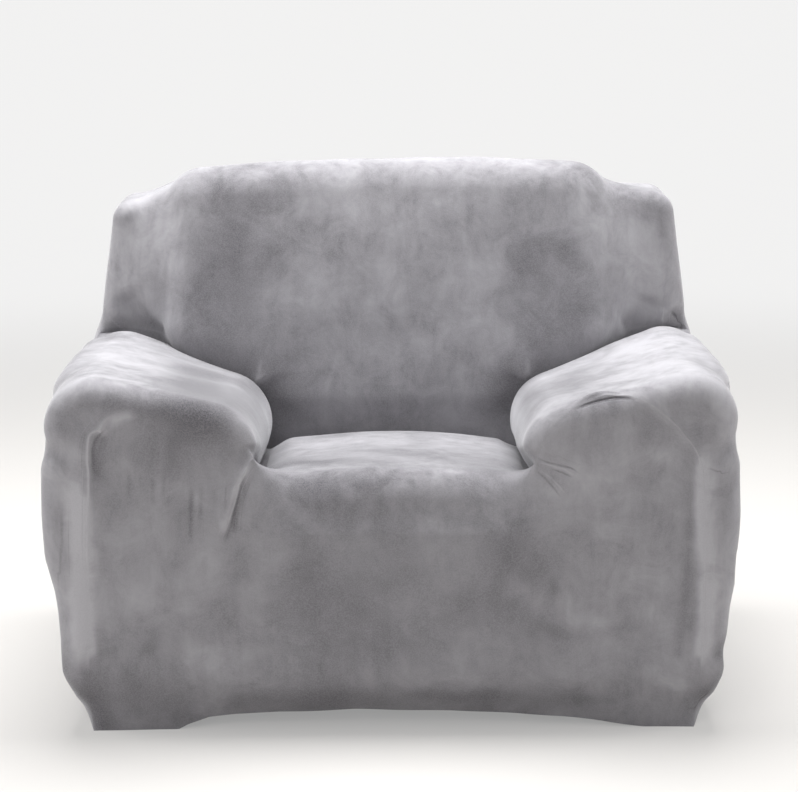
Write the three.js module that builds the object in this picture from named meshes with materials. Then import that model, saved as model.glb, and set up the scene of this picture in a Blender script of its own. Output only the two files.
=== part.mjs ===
// Stretch slipcover for a rolled-arm armchair, in the shape that it takes on the chair.
// Millimetres. +X is to the right seen from the front, +Y to the back and +Z up; the origin is on the floor
// under the middle of the cover.
//
// The cover is five panels of plush, sewn along their edges and drawn under the chair by an elastic hem. Its
// shape is worked out as a tailor would fit it: a net of cloth is laid over the chair's form, its seams and
// its tucked-in lines are held in place, and the rest draws itself tight until it lies on the form or spans
// its hollows. The chair itself is only that form, and isn't part of the object.
import * as THREE from 'three';

// ---------------------------------------------------------------- driving dimensions
const cloth = 2.4;        // thickness of the plush
const seamGap = 0.6;      // clearance between two panels along their seam
const front = -430;       // plane of the arm fronts
const rear = 430;         // plane of the outside back
const tightening = 300;   // rounds in which the net draws itself tight

// The chair's form. Half widths are measured from the middle; corner, under and nose are radii. An arm's fall
// is how much it drops towards the back for each millimetre of depth, and its swell is how much it widens. A
// flank is the squarer shoulder that the arm has further back, which comes in gently over a length.
const base = { inner: 246, bottom: 50, top: 492, corner: 38, under: 56 };
const baseSide = [
  { z: 50, x: 578 }, { z: 54, x: 565 }, { z: 60, x: 556 }, { z: 66, x: 551 }, { z: 90, x: 548 },
  { z: 112, x: 547 }, { z: 132, x: 545 }, { z: 155, x: 548 }, { z: 200, x: 554 }, { z: 245, x: 560 },
  { z: 300, x: 567 }, { z: 360, x: 570 }, { z: 492, x: 570 },
];
const seat = {
  halfWidth: 222, bottom: 340, top: 416, crown: 20, fall: 0.04, setBack: 10, nose: 66, corner: 30, back: 200,
};
const arm = {
  outer: { x: 484, z: 512, radius: 79, fall: 0.01 },
  inner: { x: 302, z: 462, radius: 88, fall: 0.055 },
  nose: 40, back: 300, swell: 11,
};
const flank = { halfWidth: 572, inner: 484, front: -390, top: 586, bottom: 452, corner: 46, over: 190 };
const frame = { halfWidth: 548, waist: 580, narrowing: 0.125, front: 232, bottom: 60, corner: 34 };
const frameTop = [
  { x: -540, z: 816 }, { x: -464, z: 817 }, { x: -438, z: 830 }, { x: -420, z: 839 }, { x: -395, z: 842 },
  { x: -340, z: 830 }, { x: 440, z: 830 }, { x: 540, z: 824 },
];
const cushion = {
  middle: -10, halfWidth: 414, front: 135, thickness: 190, bottom: 372, top: 888, corner: 74,
  recline: 0.27, bulge: 18, crown: 14, levelFrom: 200, tilt: 0.012,
};
// How far the chair's middle lies to the right at a height: its padding has sat down a little to the left.
const lean = [
  { z: 0, x: -2 }, { z: 110, x: -3 }, { z: 160, x: -1 }, { z: 240, x: 0 }, { z: 290, x: -6 }, { z: 500, x: -6 },
  { z: 600, x: 0 },
];
const padding = { gives: 30, reach: 1.3 };   // how far it is pressed in at a tuck, and over how many cells

// Lines where the cloth is held. Those of one side are given for the right, and mirrored to the left.
const right = {
  seamSide: [
    { x: 492, z: 0 }, { x: 498, z: 60 }, { x: 502, z: 155 }, { x: 503, z: 305 }, { x: 499, z: 420 },
    { x: 494, z: 452 }, { x: 484, z: 475 }, { x: 469, z: 494 },
  ],
  seamTop: [
    { x: 469, z: 494 }, { x: 446, z: 520 }, { x: 412, z: 545 }, { x: 384, z: 555 }, { x: 343, z: 563 },
    { x: 310, z: 556 }, { x: 284, z: 536 },
  ],
  seamInner: [{ x: 284, z: 536 }, { x: 256, z: 510 }, { x: 238, z: 482 }, { x: 226, z: 448 }],
  seatTuck: [
    { x: 226, y: -418, z: 448 }, { x: 226, y: -380, z: 438 }, { x: 230, y: -330, z: 414 },
    { x: 232, y: -260, z: 394 }, { x: 232, y: -80, z: 384 }, { x: 232, y: 94, z: 378 },
  ],
};
const left = {
  seamSide: [
    { x: 500, z: 0 }, { x: 503, z: 60 }, { x: 503, z: 162 }, { x: 500, z: 312 }, { x: 498, z: 438 },
    { x: 496, z: 470 }, { x: 492, z: 492 }, { x: 480, z: 512 },
  ],
  seamTop: [
    { x: 480, z: 512 }, { x: 459, z: 530 }, { x: 430, z: 546 }, { x: 396, z: 556 }, { x: 350, z: 558 },
    { x: 315, z: 548 }, { x: 288, z: 528 },
  ],
  seamInner: [{ x: 288, z: 528 }, { x: 260, z: 504 }, { x: 240, z: 480 }, { x: 226, z: 460 }],
  seatTuck: [
    { x: 226, y: -418, z: 460 }, { x: 226, y: -380, z: 448 }, { x: 230, y: -330, z: 420 },
    { x: 232, y: -260, z: 396 }, { x: 232, y: -80, z: 384 }, { x: 232, y: 94, z: 378 },
  ],
};
const armTuckInner = [
  { x: 232, y: 94, z: 378 }, { x: 228, y: 92, z: 415 }, { x: 234, y: 100, z: 448 },
  { x: 260, y: 114, z: 472 },
];
const armTuckTop = [
  { x: 260, y: 114, z: 472 }, { x: 300, y: 134, z: 490 }, { x: 345, y: 160, z: 512 },
  { x: 390, y: 198, z: 536 }, { x: 430, y: 232, z: 556 }, { x: 480, y: 248, z: 569 },
  { x: 520, y: 250, z: 572 }, { x: 551, y: 238, z: 570 },
];
const backTuck = { halfWidth: 232, y: 94, z: 378 };
const pleat = [
  { x: -226, z: 460 }, { x: -243, z: 429 }, { x: -256, z: 395 }, { x: -266, z: 358 }, { x: -284, z: 306 },
];
const hem = { left: -500, right: 492, halfDepth: 404, bow: 14, spread: 24 };
const hemFront = [
  { x: -500, z: 0 }, { x: -360, z: 0 }, { x: -343, z: 9 }, { x: -309, z: 20 }, { x: -265, z: 24 },
  { x: -193, z: 28 }, { x: -70, z: 29 }, { x: 95, z: 27 }, { x: 199, z: 21 }, { x: 275, z: 16 },
  { x: 335, z: 10 }, { x: 375, z: 5 }, { x: 416, z: 0 }, { x: 492, z: 0 },
];
const hemSide = [
  { y: -400, z: 0 }, { y: -300, z: 1 }, { y: -200, z: 16 }, { y: 0, z: 25 }, { y: 200, z: 16 },
  { y: 300, z: 1 }, { y: 400, z: 0 },
];

// Soft ridges (rise above nought) and troughs (below) of a given reach, laid along short lines on the cloth.
const folds = [
  { name: 'pleat', rise: 10, reach: 24, line: [[-226, -424, 456], [-256, -432, 395], [-284, -432, 306]] },
  { name: 'left seam', rise: 5, reach: 22, line: [[-498, -430, 450], [-502, -430, 312], [-503, -430, 110]] },
  { name: 'right seam', rise: 5, reach: 22, line: [[495, -430, 446], [503, -430, 305], [501, -430, 110]] },
  { name: 'right lip', rise: 5, reach: 24, line: [[300, -430, 552], [343, -430, 564], [384, -430, 557]] },
  { name: 'left wing', rise: -9, reach: 40, line: [[-505, 232, 640], [-450, 224, 590], [-420, 200, 566]] },
  { name: 'right wing', rise: -7, reach: 36, line: [[500, 234, 632], [452, 228, 596], [424, 206, 570]] },
];

// ---------------------------------------------------------------- the chair's form as distances
const { abs, cos, hypot, max, min, sin, sqrt } = Math;

// The body inside two faces, given as distances, with their shared edge rounded.
function edge(a, b, radius) {
  return hypot(max(a + radius, 0), max(b + radius, 0)) + min(max(a, b) + radius, 0) - radius;
}

function between(value, low, high) {
  return max(low - value, value - high);
}

// A section of two circles joined by their tangents, run along Y with a rounded nose.
function rolledArm(x, y, z) {
  const { outer, inner } = arm;
  const depth = (y - front) / (arm.back - front);
  const outerX = outer.x + arm.swell * min(max(depth / 0.6, 0), 1);
  const outerZ = outer.z - outer.fall * (y - front);
  const [dx, dz] = [inner.x - outerX, inner.z - inner.fall * (y - front) - outerZ];
  const length = hypot(dx, dz);
  const along = ((x - outerX) * dx + (z - outerZ) * dz) / length;
  const aside = abs((x - outerX) * dz - (z - outerZ) * dx) / length;
  const slope = (outer.radius - inner.radius) / length;
  const rise = sqrt(1 - slope * slope);
  const reach = along * rise - aside * slope;
  let section = aside * rise + along * slope - outer.radius;
  if (reach < 0) section = hypot(along, aside) - outer.radius;
  else if (reach > rise * length) section = hypot(along - length, aside) - inner.radius;
  return edge(section, between(y, front, arm.back), arm.nose);
}

function armFlank(x, y, z) {
  const section = edge(x - flank.halfWidth, z - flank.top + arm.outer.fall * (y - front), flank.corner);
  const block = edge(section, between(y, flank.front, arm.back), flank.over);
  return max(block, flank.inner - x, flank.bottom - z);
}

function seatBlock(x, y, z) {
  const top = seat.top + seat.crown * max(0, 1 - (x / seat.halfWidth) ** 2) - seat.fall * (y - front);
  const profile = edge(between(y, front + seat.setBack, seat.back), between(z, seat.bottom, top), seat.nose);
  return edge(profile, x - seat.halfWidth, seat.corner);
}

function baseBlock(x, y, z) {
  const plan = edge(x - lookUp(baseSide, 'z', 'x', z), between(y, front, rear), base.corner);
  const block = edge(plan, between(z, base.bottom, base.top), base.under);
  return max(block, min(base.inner - x, z - seat.bottom));
}

function backFrame(x, y, z) {
  const halfWidth = frame.halfWidth - frame.narrowing * max(z - frame.waist, 0);
  const plan = edge(abs(x) - halfWidth, between(y, frame.front, rear), frame.corner);
  return edge(plan, between(z, frame.bottom, lookUp(frameTop, 'x', 'z', x)), frame.corner);
}

function backCushion(x, y, z) {
  const [c, s] = [cos(cushion.recline), sin(cushion.recline)];
  const half = cushion.thickness / 2;
  const [dy, dz] = [y - cushion.front - half, z - 600];
  const [along, up] = [dy * c - dz * s, dy * s + dz * c];
  const out = abs(x - cushion.middle);
  const aside = (out / cushion.halfWidth) ** 2;
  const bulge = cushion.bulge * max(0, 1 - aside) * max(0, 1 - ((up - 10) / 280) ** 2);
  const top = cushion.top - 594 - cushion.crown * aside - cushion.tilt * max(cushion.levelFrom - x, 0);
  const plan = edge(out - cushion.halfWidth, between(along, -half - bulge, half), cushion.corner);
  return edge(plan, between(up, cushion.bottom - 600, top), cushion.corner);
}

function chairForm([x0, y, z]) {
  const x = x0 - lookUp(lean, 'z', 'x', z);
  const alike = [baseBlock, seatBlock, rolledArm, armFlank].map((block) => block(abs(x), y, z));
  return min(...alike, backFrame(x, y, z), backCushion(x, y, z));
}

// ---------------------------------------------------------------- the net of cloth
// Cells counted over one arm, the seat between the arms, the seat's depth, the back's depth, and up to the
// seat, from there to the top of the arms and from there to the top of the back.
const count = { arm: 8, seat: 10, depth: 13, back: 5, low: 8, roll: 4, high: 7 };
const I = [count.arm, count.arm + count.seat, 2 * count.arm + count.seat];
const J = [count.depth, count.depth + count.back];
const K = [count.low, count.low + count.roll, count.low + count.roll + count.high];
const pleatCells = 3;     // cells that the pleat below the left tuck runs down over

// The value at a share of the way along a table, smoothly through its rows.
function through(rows, share, names) {
  const lengths = [0];
  for (let n = 1; n < rows.length; n += 1) {
    lengths.push(lengths[n - 1] + hypot(...names.map((name) => rows[n][name] - rows[n - 1][name])));
  }
  const target = share * lengths[rows.length - 1];
  let n = 1;
  while (n < rows.length - 1 && lengths[n] < target) n += 1;
  const t = (target - lengths[n - 1]) / (lengths[n] - lengths[n - 1]);
  return names.map((name) => {
    const [a, b] = [rows[n - 1][name], rows[n][name]];
    const before = rows[max(n - 2, 0)][name];
    const after = rows[min(n + 1, rows.length - 1)][name];
    return a + t * (b - a) + 0.5 * t * (1 - t) * ((1 - t) * (2 * a - before - b) + t * (2 * b - a - after));
  });
}

// The value of one column where another column reaches a given value.
function lookUp(rows, from, to, value) {
  let n = 1;
  while (n < rows.length - 1 && rows[n][from] < value) n += 1;
  const t = (value - rows[n - 1][from]) / (rows[n][from] - rows[n - 1][from]);
  return rows[n - 1][to] + min(max(t, 0), 1) * (rows[n][to] - rows[n - 1][to]);
}

function spread(stops, index) {
  let n = 1;
  while (n < stops.length - 1 && stops[n][0] < index) n += 1;
  const [[i0, v0], [i1, v1]] = [stops[n - 1], stops[n]];
  return v0 + (v1 - v0) * (index - i0) / (i1 - i0);
}

function start(i, j, k) {
  const outside = arm.outer.x + arm.outer.radius;
  return [
    spread([[0, -outside], [I[0], -backTuck.halfWidth], [I[1], backTuck.halfWidth], [I[2], outside]], i),
    spread([[0, front], [J[0], 180], [J[1], rear]], j),
    spread([[0, 0], [K[0], 410], [K[1], 580], [K[2], cushion.top]], k),
  ];
}

// Where a knot of the net is held, as a coordinate or null for each axis.
function held(i, j, k) {
  const side = i < I[2] / 2 ? -1 : 1;
  const lines = side < 0 ? left : right;
  const a = min(i, I[2] - i);
  if (k === 0) return heldByHem(i, j, side);
  const seam = (rows, share) => {
    const [x, z] = through(rows, share, ['x', 'z']);
    return [side * x, null, z];
  };
  const tuck = (rows, share) => {
    const [x, y, z] = through(rows, share, ['x', 'y', 'z']);
    return [side * x, y, z];
  };
  if (j === 0 && a === 0) return seam(lines.seamSide, k / K[1]);
  if (j === 0 && k === K[1]) return seam(lines.seamTop, a / I[0]);
  if (a === I[0] && k === K[0] && j <= J[0]) return tuck(lines.seatTuck, j / J[0]);
  if (j === 0 && a === I[0] && k > K[0]) return seam(lines.seamInner, (K[1] - k) / count.roll);
  if (j === 0 && i === I[0] && k >= K[0] - pleatCells) {
    const [x, z] = through(pleat, (K[0] - k) / pleatCells, ['x', 'z']);
    return [x, null, z];
  }
  if (j === J[0] && a === I[0] && k > K[0] && k < K[1]) return tuck(armTuckInner, (k - K[0]) / count.roll);
  if (j === J[0] && k === K[1] && a <= I[0]) return tuck(armTuckTop, (I[0] - a) / I[0]);
  if (j === J[0] && k === K[0] && i > I[0] && i < I[1]) {
    return [spread([[I[0], -backTuck.halfWidth], [I[1], backTuck.halfWidth]], i), backTuck.y, backTuck.z];
  }
  if (j === J[1] && (a === 0 || k === K[2])) return [null, rear - 10, null];
  if (a === 0 && k === K[1] && j > J[0]) return [null, null, armTuckTop[armTuckTop.length - 1].z];
  return [null, null, null];
}

function heldByHem(i, j, side) {
  const x = spread([[0, hem.left], [I[2], hem.right]], i);
  const y = spread([[0, -hem.halfDepth], [J[1], hem.halfDepth]], j);
  const bow = hem.bow * (1 - (x / hem.right) ** 2);
  if (j === 0) return [x, y + bow, lookUp(hemFront, 'x', 'z', x)];
  if (j === J[1]) return [x, y - bow, lookUp(hemSide, 'y', 'z', x * 0.8)];
  return [x + side * hem.spread * (1 - (y / hem.halfDepth) ** 4), y, lookUp(hemSide, 'y', 'z', y)];
}

// How far the chair's padding gives way at a knot: it is pressed in beside the tucks.
function yielding(i, j, k) {
  const a = min(i, I[2] - i);
  const near = min(
    j <= J[0] ? hypot(a - I[0], k - K[0]) : Infinity,
    a >= I[0] ? hypot(j - J[0], k - K[0]) : Infinity,
    k >= K[0] && k <= K[1] ? hypot(a - I[0], j - J[0]) : Infinity,
    a <= I[0] ? hypot(j - J[0], k - K[1]) : Infinity,
  );
  return padding.gives * max(0, 1 - near / padding.reach) ** 2;
}

// One face of the net for every open side of the chair's blocks, with the panel that it belongs to.
function netFaces() {
  const inside = (i, j, k) => {
    if (i < 0 || j < 0 || k < 0 || i >= I[2] || j >= J[1] || k >= K[2]) return false;
    return k < K[0] || j >= J[0] || (k < K[1] && (i < I[0] || i >= I[1]));
  };
  const sides = [
    { step: [-1, 0, 0], corners: [[0, 0, 0], [0, 0, 1], [0, 1, 1], [0, 1, 0]] },
    { step: [1, 0, 0], corners: [[1, 0, 0], [1, 1, 0], [1, 1, 1], [1, 0, 1]] },
    { step: [0, -1, 0], corners: [[0, 0, 0], [1, 0, 0], [1, 0, 1], [0, 0, 1]] },
    { step: [0, 1, 0], corners: [[0, 1, 0], [0, 1, 1], [1, 1, 1], [1, 1, 0]] },
    { step: [0, 0, 1], corners: [[0, 0, 1], [1, 0, 1], [1, 1, 1], [0, 1, 1]] },
  ];
  const panelOf = ([di, dj, dk], i, j, k) => {
    const armPanel = i < I[2] / 2 ? 'arm_left' : 'arm_right';
    if (dj > 0) return 'outside_back';
    if (dj < 0) return j === 0 ? 'seat_front' : 'inside_back';
    if (di !== 0) return k < K[1] ? armPanel : 'inside_back';
    if (k + dk === K[2]) return 'inside_back';
    return k + dk === K[1] ? armPanel : 'seat_front';
  };
  const faces = [];
  for (let i = 0; i < I[2]; i += 1) {
    for (let j = 0; j < J[1]; j += 1) {
      for (let k = 0; k < K[2]; k += 1) {
        if (!inside(i, j, k)) continue;
        for (const { step, corners } of sides) {
          if (inside(i + step[0], j + step[1], k + step[2])) continue;
          faces.push({
            panel: panelOf(step, i, j, k),
            knots: corners.map((corner) => [i + corner[0], j + corner[1], k + corner[2]]),
          });
        }
      }
    }
  }
  return faces;
}

function slopeOf(point) {
  return [0, 1, 2].map((axis) => {
    const [low, high] = [[...point], [...point]];
    low[axis] -= 0.5;
    high[axis] += 0.5;
    return chairForm(high) - chairForm(low);
  });
}

// Puts a point that has gone into the chair back onto it, along the axes that are free.
function pushOut(point, hold, give) {
  const depth = chairForm(point) + give;
  if (depth >= 0) return point;
  const slope = slopeOf(point).map((part, axis) => (hold[axis] === null ? part : 0));
  const size = slope.reduce((sum, part) => sum + part * part, 0);
  return size < 0.04 ? point : point.map((value, axis) => value - depth * slope[axis] / size);
}

function drawTight(points, holds, gives, neighbours) {
  let now = points.map((point, n) => point.map((value, axis) => holds[n][axis] ?? value));
  for (let round = 0; round < tightening; round += 1) {
    now = now.map((point, n) => {
      const pull = point.map((value, axis) => {
        if (holds[n][axis] !== null) return value;
        const mean = neighbours[n].reduce((sum, other) => sum + now[other][axis], 0) / neighbours[n].length;
        return value + 0.6 * (mean - value);
      });
      return pushOut(pull, holds[n], gives[n]);
    });
  }
  return now;
}

function vertexNormals(points, quads) {
  const normals = points.map(() => new THREE.Vector3());
  for (const quad of quads) {
    const [a, b, c, d] = quad.map((n) => new THREE.Vector3(...points[n]));
    const across = new THREE.Vector3().crossVectors(c.sub(a), d.sub(b));
    for (const n of quad) normals[n].add(across);
  }
  return normals.map((normal) => normal.normalize());
}

function distanceTo(point, line) {
  let best = Infinity;
  for (let n = 1; n < line.length; n += 1) {
    const [a, b] = [line[n - 1], line[n]];
    const ab = b.map((value, axis) => value - a[axis]);
    const ap = point.map((value, axis) => value - a[axis]);
    const size = ab.reduce((sum, part) => sum + part * part, 0);
    const t = min(max(ab.reduce((sum, part, axis) => sum + part * ap[axis], 0) / size, 0), 1);
    best = min(best, hypot(...ap.map((part, axis) => part - t * ab[axis])));
  }
  return best;
}

function foldRise(point) {
  let rise = 0;
  for (const fold of folds) rise += fold.rise * Math.exp(-((distanceTo(point, fold.line) / fold.reach) ** 2));
  return rise;
}

// ---------------------------------------------------------------- fitting the cover
const faces = netFaces();
const knots = new Map();
for (const face of faces) {
  for (const knot of face.knots) if (!knots.has(knot.join())) knots.set(knot.join(), knot);
}
const names = [...knots.keys()];
const numberOf = new Map(names.map((name, n) => [name, n]));
const quads = faces.map((face) => face.knots.map((knot) => numberOf.get(knot.join())));
const neighbourSets = names.map(() => new Set());
for (const quad of quads) {
  quad.forEach((n, corner) => {
    neighbourSets[n].add(quad[(corner + 1) % 4]);
    neighbourSets[n].add(quad[(corner + 3) % 4]);
  });
}
const fitted = drawTight(
  names.map((name) => start(...knots.get(name))),
  names.map((name) => held(...knots.get(name))),
  names.map((name) => yielding(...knots.get(name))),
  neighbourSets.map((set) => [...set]),
);
const bare = vertexNormals(fitted, quads);
const surface = fitted.map((point, n) => {
  const rise = foldRise(point);
  return point.map((value, axis) => value + rise * bare[n].getComponent(axis));
});

// At a seam the cloth is mitred: its direction there is the mean of its panels' own, and its inner face lies
// as much further below as keeps the cloth's thickness.
const panelNames = ['seat_front', 'arm_left', 'arm_right', 'inside_back', 'outside_back'];
const panelQuads = panelNames.map((panel) => quads.filter((quad, n) => faces[n].panel === panel));
const panelNormals = panelQuads.map((own) => vertexNormals(surface, own));
const mitres = surface.map((point, n) => {
  const met = panelNormals.map((normals) => normals[n]).filter((normal) => normal.lengthSq() > 0.5);
  const mitre = met.reduce((sum, normal) => sum.add(normal), new THREE.Vector3()).normalize();
  return { direction: mitre, deeper: 1 / max(min(...met.map((normal) => mitre.dot(normal))), 0.4) };
});

// ---------------------------------------------------------------- panels
// Every outline edge of a panel, with the direction from it into the panel at both of its ends.
function panelRims(own) {
  const directed = new Set();
  for (const quad of own) quad.forEach((n, corner) => directed.add(`${n},${quad[(corner + 1) % 4]}`));
  const rims = [];
  for (const quad of own) {
    const middle = quad.reduce((sum, n) => sum.add(new THREE.Vector3(...surface[n])), new THREE.Vector3());
    middle.divideScalar(4);
    quad.forEach((from, corner) => {
      const to = quad[(corner + 1) % 4];
      if (directed.has(`${to},${from}`)) return;
      const start = new THREE.Vector3(...surface[from]);
      const along = new THREE.Vector3(...surface[to]).sub(start).normalize();
      const across = middle.clone().sub(start);
      const steps = [from, to].map((n) => {
        const step = new THREE.Vector3().crossVectors(along, mitres[n].direction).normalize();
        return step.dot(across) < 0 ? step.negate() : step;
      });
      rims.push({ ends: [from, to], steps });
    });
  }
  return rims;
}

// A closed sheet: the outer face, the inner face a cloth's thickness below it, and a rim round its edge, drawn
// back from the seam by half the gap. Rims that face each other are cut along the same diagonals.
function panelGeometry(own) {
  const rims = panelRims(own);
  const inward = new Map();
  for (const { ends, steps } of rims) {
    ends.forEach((n, end) => inward.set(n, [...(inward.get(n) ?? []), steps[end]]));
  }
  const used = [...new Set(own.flat())];
  const place = new Map(used.map((n, index) => [n, index]));
  const outer = [];
  const inner = [];
  for (const n of used) {
    const point = new THREE.Vector3(...surface[n]);
    if (inward.has(n)) {
      const [a, b] = inward.get(n);
      point.addScaledVector(a.clone().add(b), seamGap / 2 / max(1 + a.dot(b), 0.4));
    }
    outer.push(...point.toArray());
    inner.push(...point.addScaledVector(mitres[n].direction, -cloth * mitres[n].deeper).toArray());
  }
  const index = [];
  const under = used.length;
  const apart = (a, b) => hypot(...[0, 1, 2].map((axis) => surface[a][axis] - surface[b][axis]));
  for (const [p, q, r, s] of own) {
    const cut = apart(p, r) <= apart(q, s) ? [p, q, r, s] : [q, r, s, p];   // along the shorter diagonal
    const [a, b, c, d] = cut.map((n) => place.get(n));
    index.push(a, b, c, a, c, d);
    index.push(under + a, under + c, under + b, under + a, under + d, under + c);
  }
  for (const { ends } of rims) {
    const [a, b] = ends.map((n) => place.get(n));
    if (ends[0] < ends[1]) index.push(b, a, under + a, b, under + a, under + b);
    else index.push(b, a, under + b, a, under + a, under + b);
  }
  const geometry = new THREE.BufferGeometry();
  geometry.setAttribute('position', new THREE.Float32BufferAttribute([...outer, ...inner], 3));
  geometry.setIndex(index);
  geometry.computeVertexNormals();
  return geometry;
}

const group = new THREE.Group();
panelNames.forEach((panel, n) => {
  const plush = new THREE.MeshStandardMaterial({ color: 0x8d8b90, roughness: 0.95, metalness: 0 });
  const mesh = new THREE.Mesh(panelGeometry(panelQuads[n]), plush);
  mesh.name = panel;
  group.add(mesh);
});
export default group;
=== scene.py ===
"""Stretch slipcover of grey plush, in the shape that it takes on a rolled-arm armchair.

Its own sizes are in millimetres, and its meshes are in metres. x runs to the right as seen from the front, y
to the back and z up from the floor. The chair's form is a distance field of rounded blocks. A net of quads
draws itself tight over that form, folds are raised and sunk in it along named lines, and the five panels are
then cut from it with a mitre at their seams.
"""
import math
from collections import namedtuple
from types import SimpleNamespace as Sizes

import bpy
import numpy as np
from mathutils import Matrix, Vector


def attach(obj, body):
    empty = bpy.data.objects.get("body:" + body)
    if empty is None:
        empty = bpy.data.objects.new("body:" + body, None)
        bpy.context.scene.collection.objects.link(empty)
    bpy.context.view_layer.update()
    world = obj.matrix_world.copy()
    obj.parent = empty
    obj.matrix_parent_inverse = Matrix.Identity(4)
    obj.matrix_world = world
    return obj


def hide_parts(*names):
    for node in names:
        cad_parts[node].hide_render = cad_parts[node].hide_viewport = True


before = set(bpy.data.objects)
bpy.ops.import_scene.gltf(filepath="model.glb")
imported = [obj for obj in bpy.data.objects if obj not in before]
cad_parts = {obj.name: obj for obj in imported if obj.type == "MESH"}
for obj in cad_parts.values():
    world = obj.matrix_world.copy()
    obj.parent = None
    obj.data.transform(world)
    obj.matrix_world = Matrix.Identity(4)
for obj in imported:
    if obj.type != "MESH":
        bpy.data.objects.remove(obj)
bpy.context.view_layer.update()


# ---------------- camera
# Its place in metres, its pitch and roll in degrees, and its focal length in widths of the frame.
CAMERA = Sizes(at=(0.009, -4.43, 1.25), pitch=-9.757, roll=-0.4, focal=2530 / 798, sensor=36)


def place_camera():
    data = bpy.data.cameras.new("camera")
    data.sensor_width = CAMERA.sensor
    data.lens = CAMERA.focal * CAMERA.sensor
    camera = bpy.data.objects.new("camera", data)
    pitch = Matrix.Rotation(math.radians(90 + CAMERA.pitch), 4, "X")
    roll = Matrix.Rotation(math.radians(CAMERA.roll), 4, "Z")
    camera.matrix_world = Matrix.Translation(CAMERA.at) @ (pitch @ roll)
    bpy.context.scene.collection.objects.link(camera)
    bpy.context.scene.camera = camera
    bpy.context.scene.view_settings.view_transform = "Standard"


# ---------------- the cover's sizes
# The cloth's thickness, the gap between panels at a seam, and where the chair's front and rear are.
CLOTH = 2.4
SEAM_GAP = 0.12
FRONT, REAR = -430.0, 430.0

# The chair's base with half its width by height, its front drawn in at the foot, and the seat within it.
BASE = Sizes(inner=246, top=492, corner=38, over=56)
BASE_SIDE = [
    (0, 504), (10, 507), (26, 515), (36, 520), (52, 530), (60, 533), (85, 542), (100, 545), (127, 543),
    (150, 546), (200, 552), (245, 560), (300, 567), (360, 570), (492, 570),
]
BASE_FRONT = Sizes(turns=110, over=82, by=38, most=1.05)
SEAT = Sizes(half=222, bottom=340, top=416, crown=20, fall=0.04, set_back=10, nose=66, corner=30, back=200)

# The rolled arm's section is an outer and an inner round and what spans them. The flank is its flat side.
ARM_OUTER = Sizes(x=484, z=512, radius=79, fall=0.01)
ARM_INNER = Sizes(x=302, z=462, radius=88, fall=0.055)
ARM = Sizes(nose=40, back=300, swell=11, swells_by=0.6)
FLANK = Sizes(half=572, inner=484, front=-390, top=586, bottom=452, corner=46, over=190)

# The back: its frame, which is the wings and shoulders, with the height of its top across the width, and the
# cushion before it, which leans back about its pivot.
FRAME = Sizes(half=548, waist=580, narrowing=0.125, front=232, bottom=60, corner=34)
FRAME_TOP = [
    (-540, 816), (-464, 817), (-438, 830), (-420, 839), (-395, 842), (-340, 830), (440, 830), (540, 824),
]
CUSHION = Sizes(
    middle=-10, half=414, front=135, thick=190, bottom=372, top=888, corner=74, pivot=600, recline=0.27,
    reach=294, bulge=18, bulge_at=10, bulge_over=280, crown=14, level=200, tilt=0.012,
)

# How far the whole stands over to the right, by height.
LEAN = [
    (0, -5), (10, -5), (36, -2), (60, -1), (85, -2), (127, -5), (155, -2), (240, 0), (290, -6), (500, -6),
    (600, 0),
]

# How far the padding gives beside a tuck, and over how many cells of the coarsest net.
PADDING = Sizes(gives=30, reach=1.3)

# Lines where the cloth is held, for the right (1) and the left (-1), as x, z or x, y, z. The front seam runs
# up the corner, over the arm and down to the tuck beside the seat.
SEAM_SIDE = {
    1: [(492, 0), (498, 60), (502, 155), (503, 305), (499, 420), (494, 452), (484, 475), (469, 494)],
    -1: [
        (500, 0), (503, 60), (501, 162), (496, 312), (492, 427), (493, 459), (492, 486), (489, 502),
        (483, 508), (473, 512),
    ],
}
SEAM_TOP = {
    1: [(469, 494), (446, 520), (412, 545), (384, 555), (343, 563), (310, 556), (284, 536)],
    -1: [(473, 512), (465, 525), (454, 534), (434, 540), (396, 550), (350, 555), (315, 547), (288, 528)],
}
SEAM_INNER = {
    1: [(284, 536), (256, 510), (238, 482), (226, 448)],
    -1: [(288, 528), (260, 504), (240, 480), (226, 460)],
}
SEAT_TUCK_REAR = [(232, -80, 384), (232, 94, 378)]
SEAT_TUCK = {
    1: [(226, -418, 448), (226, -380, 438), (230, -330, 414), (232, -260, 394), *SEAT_TUCK_REAR],
    -1: [(226, -418, 460), (226, -380, 448), (230, -330, 420), (232, -260, 396), *SEAT_TUCK_REAR],
}
ARM_TUCK_INNER = [(232, 94, 378), (228, 92, 415), (234, 100, 448), (260, 114, 472)]
ARM_TUCK_TOP = [
    (260, 114, 472), (300, 134, 490), (345, 160, 512), (390, 198, 536), (430, 232, 556), (480, 248, 569),
    (520, 250, 572), (551, 238, 570),
]
BACK_TUCK = Sizes(half=232, y=94, z=378)
REAR_EDGE = 10
PLEAT = [(-226, 460), (-237, 445), (-252, 421), (-260, 394), (-266, 367), (-269, 342), (-268, 322)]
PLEAT_CELLS = 3
HEM = Sizes(left=-500, right=492, tucks=(-240, 226), depth=404, bow=14, spread=24)
HEM_FRONT = [
    (-500, 0), (-360, 0), (-343, 9), (-309, 20), (-265, 24), (-193, 28), (-70, 29), (95, 27), (199, 21),
    (275, 16), (335, 10), (375, 5), (416, 0), (492, 0),
]
HEM_SIDE = [(-400, 0), (-300, 1), (-200, 16), (0, 25), (200, 16), (300, 1), (400, 0)]
HEM_REAR_SHARE = 0.8

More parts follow.
